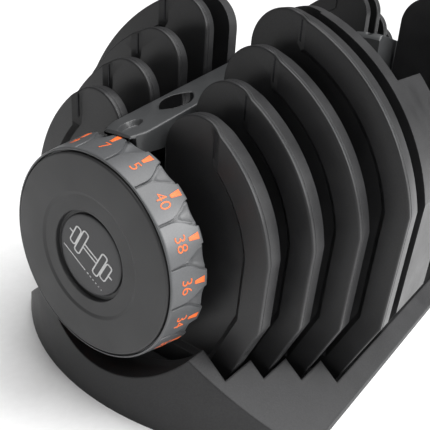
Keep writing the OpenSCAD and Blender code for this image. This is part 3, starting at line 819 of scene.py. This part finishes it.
    def face(self) -> bpy.types.Object:
        """Builds the face disc, turned with a rounded rim, a shallow dish and the badge's recess."""
        front = self.face_start
        shell = Shell()
        profile = rounded([
            (self.badge_depth + front, 0.0, 0), (self.badge_depth + front, self.badge_recess_r, 0.4),
            (front + 0.55, self.badge_recess_r, 0.5), (front + 0.75, self.step_r - 1.0, 0.5),
            (front, self.step_r + 0.6, 0.8), (front, self.face_r, 1.5), (front + 2.6, self.face_r, 0.2),
            (front + 2.6, self.face_r - 1.4, 0.2), (self.face_stop, self.face_r - 1.4, 0.2),
            (self.face_stop, self.face_r - 4.0, 0.2), (front + 4.8, 0.0, 0)], steps=6)
        shell.revolve(profile, 180)
        piece = shell.build(f"dial_face_{self.end.value}_disc", FACE_ABS, self.place, crease=40.0)
        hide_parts(f"dial_face_{self.end.value}")
        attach(piece, self.body)
        return piece

    def badge(self) -> bpy.types.Object:
        """Builds the badge, a low dome with a softened edge."""
        top = self.face_start + self.badge_sink
        shell = Shell()
        dome = [(top + self.dome_fall * (r / self.badge_r) ** 2, r) for r in (5.0, 10.0, 14.0, 17.0, 19.0)]
        rim = [(top, 0.0), *dome,
               (top + 0.3, self.badge_r - 0.9), (top + 0.45, self.badge_r - 0.4),
               (top + 0.8, self.badge_r - 0.08), (top + 1.1, self.badge_r), (top + 1.6, self.badge_r)]
        shell.revolve(rim + [(top + 1.6, 0.0)], 120)
        piece = shell.build(f"dial_badge_{self.end.value}_dome", BADGE_ABS, self.place, crease=50.0)
        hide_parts(f"dial_badge_{self.end.value}")
        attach(piece, self.body)
        return piece

    def emblem(self) -> bpy.types.Object:
        """Builds a generic dumbbell sign over a rule of dashes, on the badge."""
        shell = Shell()
        tilt = math.radians(self.emblem_tilt)
        top = self.face_start + self.emblem_sink

        def spot(u: float, v: float) -> Point2:
            """Turns a place on the tilted sign into the end's y and z."""
            y = -u * math.cos(tilt) - v * math.sin(tilt)
            z = -u * math.sin(tilt) + v * math.cos(tilt)
            return y, z

        def stroke(path: Sequence[Point2], width: float = self.line_w) -> None:
            """Adds a printed line of even width along a path, closed if its ends meet."""
            closed = path[0] == path[-1]
            points = [Vector(p) for p in (path[:-1] if closed else path)]
            count = len(points)
            sides: tuple[list[Point2], list[Point2]] = ([], [])
            for i, p in enumerate(points):
                ahead = points[(i + 1) % count] - p if closed or i < count - 1 else p - points[i - 1]
                behind = p - points[i - 1] if closed or i > 0 else ahead
                mean = (ahead.normalized() + behind.normalized()).normalized()
                normal = Vector((-mean.y, mean.x))
                scale = width / 2 / max(0.4, normal.dot(Vector((-ahead.y, ahead.x)).normalized()))
                for side, sign in zip(sides, (1, -1)):
                    side.append(tuple(p + normal * scale * sign))
            quads = []
            for side in sides:
                for x in (top - 0.12, top + 0.5):
                    quads.append(shell.add(
                        (x + self.dome_fall * (math.hypot(*q) / self.badge_r) ** 2, *spot(*q)) for q in side))
            a, b, c, d = quads
            for first, second in ((a, c), (c, d), (d, b), (b, a)):
                shell.join(first, second, closed=closed)
            if not closed:
                for i in (0, -1):
                    shell.faces.append((a[i], c[i], d[i], b[i]))

        def box(u: float, v: float, w: float, h: float, r: float = 1.3) -> None:
            """Adds the outline of a rounded box from its lower left corner."""
            corners = []
            for cu, cv, start in ((u + w - r, v + h - r, 0), (u + r, v + h - r, 90), (u + r, v + r, 180),
                                  (u + w - r, v + r, 270)):
                turns = [math.radians(start + a) for a in (0, 22.5, 45, 67.5, 90)]
                corners += [(cu + r * math.cos(a), cv + r * math.sin(a)) for a in turns]
            stroke([*corners, corners[0]])

        for sign in (-1, 1):
            box(sign * 11.8 - 1.9, -3.4, 3.8, 10.4)
            box(sign * 7.2 - 1.9, -5.4, 3.8, 14.4)
        stroke([(-5.0, 2.9), (5.0, 2.9)])
        stroke([(-5.0, 0.7), (5.0, 0.7)])
        for sign in (-1, 1):
            stroke([(sign * 13.9, 1.8), (sign * 16.4, 1.8)])
        stroke([(-15.5, -9.0), (2.0, -9.0)], self.rule_w)
        for i in range(6):
            stroke([(3.4 + i * 2.2, -9.0), (4.6 + i * 2.2 - 0.12 * i, -9.0)], self.rule_w)
        piece = shell.build(f"dial_emblem_{self.end.value}", EMBLEM_INK, self.place)
        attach(piece, self.body)
        return piece

    def build(self) -> list[bpy.types.Object]:
        """Builds every piece of the dial."""
        return [self.ring(), self.markings(), self.face(), self.badge(), self.emblem()]


# ---------------------------------------------------------------- bridge


@dataclass
class Bridge:
    """A bridge cover: a crowned spine from the dial's pointer to the guard.

    Attributes:
        end: Which end it spans.
    """

    end: End
    half_w: float = 11.2
    nose_share: float = 0.7
    nose_l: float = 11.0
    nose_drop: float = 1.0
    tip_z: float = 57.0
    rise: float = 0.205
    low_z: float = 47.6
    overhang: float = 3.2
    over_ring_z: float = 55.5
    heel_l: float = 7.0
    heel_drop: float = 5.0
    edge_r: float = 0.9
    crown: float = 0.5
    slot: tuple[float, float, float, float] = (28.0, 7.4, 3.6, 2.8)
    window: tuple[float, float, float, float] = (60.35, 14.45, 7.5, 1.3)
    screw_sink: float = 4.0
    screw_hole_r: float = 3.5
    arm_t: float = 8.6
    arm_r: float = 20.0
    arm_bore: float = 13.2
    arm_w: float = 16.4
    step: float = 0.5
    across: int = 44
    slot_ease: float = 0.35
    window_ease: float = 0.5
    screw_ease: float = 0.4
    screw_in: tuple[float, float] = (3.1, 6.0)

    def __post_init__(self) -> None:
        """Takes the cover's reach from the frame."""
        self.start, self.stop = depth_range(f"bridge_{self.end.value}", self.end)
        screws = depth_range("bridge_screws", End.LEFT)
        guard = depth_range(f"guard_{self.end.value}", self.end)
        self.screw_xs = (screws[0] + self.screw_in[0], guard[1] - self.screw_in[1])
        self.nose = self.start - self.overhang

    def half(self, x: float) -> float:
        """Gives the half width, narrowed in a curve at the nose."""
        t = min(1.0, (x - self.nose) / self.nose_l)
        return self.half_w * (self.nose_share + (1 - self.nose_share) * math.sin(t * math.pi / 2))

    def sink(self, x: float, y: float) -> float:
        """Gives how far the slot, the window's bed and the screw holes lie below the top."""
        cx, a, b, depth = self.slot
        inside = 1 - ((x - cx) / a) ** 2 - (y / b) ** 2
        low = depth * min(1.0, max(0.0, inside / self.slot_ease))
        cx, r, shift, depth = self.window
        inside = r - math.hypot(x - cx, abs(y) + shift)
        low = max(low, depth * min(1.0, max(0.0, inside / self.window_ease)))
        for cx in self.screw_xs:
            inside = self.screw_hole_r - math.hypot(x - cx, y)
            low = max(low, self.screw_sink * min(1.0, max(0.0, inside / self.screw_ease)))
        return low

    def top(self, x: float) -> float:
        """Gives the height of the middle of the top, with the nose's facet and the heel."""
        z = self.tip_z + self.rise * (x - self.start)
        t = min(1.0, max(0.0, (x - self.stop + self.heel_l) / self.heel_l))
        return z - max(0.0, self.nose_drop - (x - self.nose)) - self.heel_drop * t * t

    def cover(self, shell: Shell) -> None:
        """Adds the spine, section by section."""
        count = round((self.stop - self.nose) / self.step)
        rows = []
        for i in range(count + 1):
            x = self.nose + (self.stop - self.nose) * i / count
            w, z = self.half(x), self.top(x)
            low = self.over_ring_z - self.crown if x < self.start else self.low_z
            flat = w - self.edge_r
            section = [(-w - 0.3, low), (-w, (low + z) / 2)]
            section += [(-flat - self.edge_r * math.cos(a), z - self.crown - self.edge_r * (1 - math.sin(a)))
                        for a in (0.0, 0.5, 1.0)]
            for k in range(self.across + 1):
                y = flat * (2 * k / self.across - 1)
                section.append((y, z - self.crown * (y / flat) ** 2 - self.sink(x, y)))
            section += [(-y, h) for y, h in section[4::-1]]
            rows.append(shell.add((x, y, h) for y, h in section))
        for a, b in zip(rows, rows[1:]):
            shell.join(a, b)
        shell.cap(rows[0])
        shell.cap(rows[-1])

    def arm(self, shell: Shell) -> None:
        """Adds the arm that carries the cover on the hub, behind the ring."""
        x0, x1 = self.start, self.start + self.arm_t
        shell.revolve([(x0, self.arm_bore), (x0, self.arm_r), (x1, self.arm_r), (x1, self.arm_bore)], 96,
                      closed=True)
        foot = math.sqrt(self.arm_r ** 2 - (self.arm_w / 2) ** 2) - 1
        ends = [shell.add((x, y, z) for y, z in ((-self.arm_w / 2, foot), (self.arm_w / 2, foot),
                                                (self.arm_w / 2, self.low_z + 1),
                                                (-self.arm_w / 2, self.low_z + 1))) for x in (x0, x1)]
        shell.join(*ends)
        for row in ends:
            shell.cap(row)

    def build(self) -> bpy.types.Object:
        """Builds the cover and hides the node that it stands for."""
        shell = Shell()
        self.cover(shell)
        self.arm(shell)
        node = f"bridge_{self.end.value}"
        piece = shell.build(f"{node}_spine", BRIDGE_ABS, end_matrix(self.end), crease=32.0)
        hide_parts(node)
        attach(piece, "handle")
        return piece


# ---------------------------------------------------------------- grip


@dataclass
class Grip:
    """The rubber grip: a knurled barrel between two smooth flanges.

    Attributes:
        tube_r: Radius of the steel tube inside.
        middle_r: Radius at the middle.
        swell: How much thinner the ends are than the middle.
    """

    tube_r: float = 12.5
    middle_r: float = 17.2
    swell: float = 1.4
    flange_l: float = 4.0
    edge_r: float = 0.9
    knurl_depth: float = 0.5
    knurl_starts: int = 20
    knurl_pitch: float = 15.0
    knurl_gap: float = 3.0
    knurl_fade: float = 4.0
    knurl_steepness: float = 2.2
    sides: int = 200
    step: float = 0.8

    def __post_init__(self) -> None:
        """Takes the grip's place and size from the frame."""
        low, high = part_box("grip_rubber")
        self.half_l = high[0] / MM
        self.flange_r = (high[2] - low[2]) / 2 / MM
        self.place = Matrix.Translation((0, 0, (low[2] + high[2]) / 2))

    def barrel_r(self, x: float, turn: float) -> float:
        """Gives the knurled barrel's radius; two sets of helical grooves leave small diamonds."""
        r = self.middle_r - self.swell * (x / self.half_l) ** 2
        fade = min(1.0, max(0.0, (self.half_l - self.flange_l - self.knurl_gap - abs(x)) / self.knurl_fade))
        lead = math.tau * x / self.knurl_pitch
        waves = [abs(math.sin(self.knurl_starts * turn / 2 + sign * lead)) for sign in (1, -1)]
        return r - fade * self.knurl_depth * (1 - min(1.0, self.knurl_steepness * min(waves)))

    def build(self) -> bpy.types.Object:
        """Builds the grip and hides the node that it stands for."""
        shell = Shell()
        rows = []

        def row(x: float, radius: Callable[[float, float], float]) -> None:
            """Adds a row around the grip at x, with the radius given for x and the turn."""
            turns = [math.tau * i / self.sides for i in range(self.sides)]
            rows.append(shell.add((x, radius(x, t) * math.sin(t), radius(x, t) * math.cos(t)) for t in turns))

        flange = [(0.0, self.tube_r), (0.0, self.flange_r - self.edge_r)]
        flange += [(self.edge_r * (1 - math.cos(a)), self.flange_r - self.edge_r * (1 - math.sin(a)))
                   for a in (0.5, 1.0, math.pi / 2)]
        flange += [(self.flange_l - self.edge_r, self.flange_r), (self.flange_l, self.flange_r - self.edge_r)]
        for offset, r in flange:
            row(-self.half_l + offset, lambda x, t, r=r: r)
        start = self.half_l - self.flange_l - 0.4
        count = round(2 * start / self.step)
        for i in range(count + 1):
            row(-start + 2 * start * i / count, self.barrel_r)
        for offset, r in reversed(flange):
            row(self.half_l - offset, lambda x, t, r=r: r)
        for a, b in zip(rows, rows[1:] + rows[:1]):
            shell.join(a, b)
        piece = shell.build("grip_rubber_knurled", GRIP_RUBBER, self.place, crease=40.0)
        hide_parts("grip_rubber")
        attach(piece, "handle")
        return piece


# ---------------------------------------------------------------- studio


@dataclass
class Studio:
    """The floor, the soft lights and the camera."""

    floor_size: float = 40.0
    camera_place: tuple[float, float, float] = (-0.38207, -0.18798, 0.22324)
    azimuth: float = 35.53
    drop: float = 24.27
    roll: float = 4.09
    lens: float = 49.67
    surround: float = 0.14
    ceiling_power: float = 3.9
    ceiling_place: tuple[float, float, float] = (0.3, -0.55, 1.8)
    ceiling_angle: float = 60
    side_power: float = 13.0
    side_place: tuple[float, float, float] = (0.35, -1.0, 0.6)
    side_size: float = 0.6

    def floor(self) -> None:
        """Adds the pale floor."""
        mesh = bpy.data.meshes.new("studio_floor")
        half = self.floor_size / 2
        mesh.from_pydata([(-half, -half, 0), (half, -half, 0), (half, half, 0), (-half, half, 0)], [],
                         [(0, 1, 2, 3)])
        floor = bpy.data.objects.new("studio_floor", mesh)
        bpy.context.scene.collection.objects.link(floor)
        mesh.materials.append(Finish("Studio floor, white paper", "#f4f4f4", "#f9f9f9", 0.9, grain_mm=4.0,
                                     grain_depth_mm=0.001).build())

    def lamp(self, name: str, kind: str, power: float, place: Sequence[float],
             aim: Sequence[float] = (0.0, 0.0, 0.08)) -> bpy.types.Light:
        """Adds a light.

        Args:
            name: The light's name.
            kind: AREA for a softbox, SUN for an even distant light.
            power: Watts, or watts per square metre for a SUN.
            place: Where it hangs.
            aim: The point that it faces.

        Returns:
            The light's data, for its size or angle.
        """
        data = bpy.data.lights.new(name, kind)
        data.energy = power
        lamp = bpy.data.objects.new(name, data)
        lamp.location = place
        lamp.rotation_euler = (Vector(aim) - Vector(place)).to_track_quat("-Z", "Y").to_euler()
        bpy.context.scene.collection.objects.link(lamp)
        return data

    def world(self, strength: float) -> None:
        """Sets an even surround that looks white and lights the scene with the given strength."""
        world = bpy.data.worlds.new("Studio surround")
        world.use_nodes = True
        tree = world.node_tree
        tree.nodes.clear()
        seen = add_node(tree, "ShaderNodeLightPath").outputs["Is Camera Ray"]
        level = add_node(tree, "ShaderNodeMapRange", {"Value": seen, "To Min": strength, "To Max": 1.0})
        paper = add_node(tree, "ShaderNodeBackground", {
            "Color": srgb("#ffffff"), "Strength": level.outputs["Result"]})
        add_node(tree, "ShaderNodeOutputWorld", {"Surface": paper.outputs["Background"]})
        bpy.context.scene.world = world

    def camera(self) -> None:
        """Adds the camera and makes it the scene's."""
        a, d, roll = (math.radians(v) for v in (self.azimuth, self.drop, self.roll))
        ahead = Vector((math.cos(d) * math.cos(a), math.cos(d) * math.sin(a), -math.sin(d)))
        right = ahead.cross(Vector((0, 0, 1))).normalized()
        up = right.cross(ahead)
        cos, sin = math.cos(roll), math.sin(roll)
        right, up = cos * right + sin * up, cos * up - sin * right
        data = bpy.data.cameras.new("Camera")
        data.lens = self.lens
        data.sensor_width = 36.0
        data.clip_start = 0.01
        camera = bpy.data.objects.new("Camera", data)
        turn = Matrix((right, up, -ahead)).transposed().to_4x4()
        camera.matrix_world = Matrix.Translation(self.camera_place) @ turn
        bpy.context.scene.collection.objects.link(camera)
        bpy.context.scene.camera = camera

    def build(self) -> None:
        """Sets up the whole studio."""
        bpy.context.scene.view_settings.view_transform = "Standard"
        self.floor()
        self.world(self.surround)
        ceiling = self.lamp("Ceiling", "SUN", self.ceiling_power, self.ceiling_place)
        ceiling.angle = math.radians(self.ceiling_angle)
        self.lamp("Side softbox", "AREA", self.side_power, self.side_place).size = self.side_size
        self.camera()


# ---------------------------------------------------------------- whole


# Height of the widest point above the axis and depth of the lower corner below it.
# Plate E keeps the frame's own mesh.
PLATE_SIZES: dict[str, Point2] = {
    "a": (10.7, 24.8), "b": (12.8, 28.9), "c": (16.9, 34.6), "d": (25.5, 39.0)}


def main() -> None:
    """Builds the scene and reports each piece."""
    logging.basicConfig(level=logging.INFO, format="%(message)s")
    dress_frame_nodes()
    LOG.info("built %s", Grip().build().name)
    for end in End:
        for letter, (wide_z, corner_z) in PLATE_SIZES.items():
            LOG.info("built %s", Plate(letter, end, wide_z, corner_z).build().name)
        LOG.info("built %s", Bridge(end).build().name)
        for piece in Dial(end).build():
            LOG.info("built %s", piece.name)
    Studio().build()
    bpy.context.view_layer.update()


if __name__ == "__main__":
    main()
